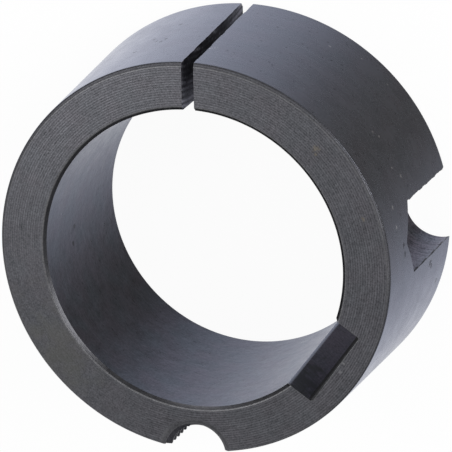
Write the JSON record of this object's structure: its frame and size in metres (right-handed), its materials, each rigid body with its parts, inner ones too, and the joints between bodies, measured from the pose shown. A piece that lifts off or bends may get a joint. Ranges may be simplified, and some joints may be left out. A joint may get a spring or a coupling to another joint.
{
  "type": "taper lock bushing",
  "caption": "Split tapered ring that grips a shaft in its keyed bore, with screw half-holes in its taper that draw it into a hub or push it out.",
  "frame": {"origin": "on the bore's axis, in the plane of the large end's face", "axes": "+Z along the bore towards the small end, +X through the middle of the keyway; the split is 124 degrees anticlockwise from +X"},
  "size_m": [0.0698, 0.0698, 0.0318],
  "materials": {
    "phosphated_iron": "turned and ground, with a dark phosphate coat"
  },
  "bodies": {
    "root": {"bushing": "phosphated_iron"}
  },
  "joints": []
}
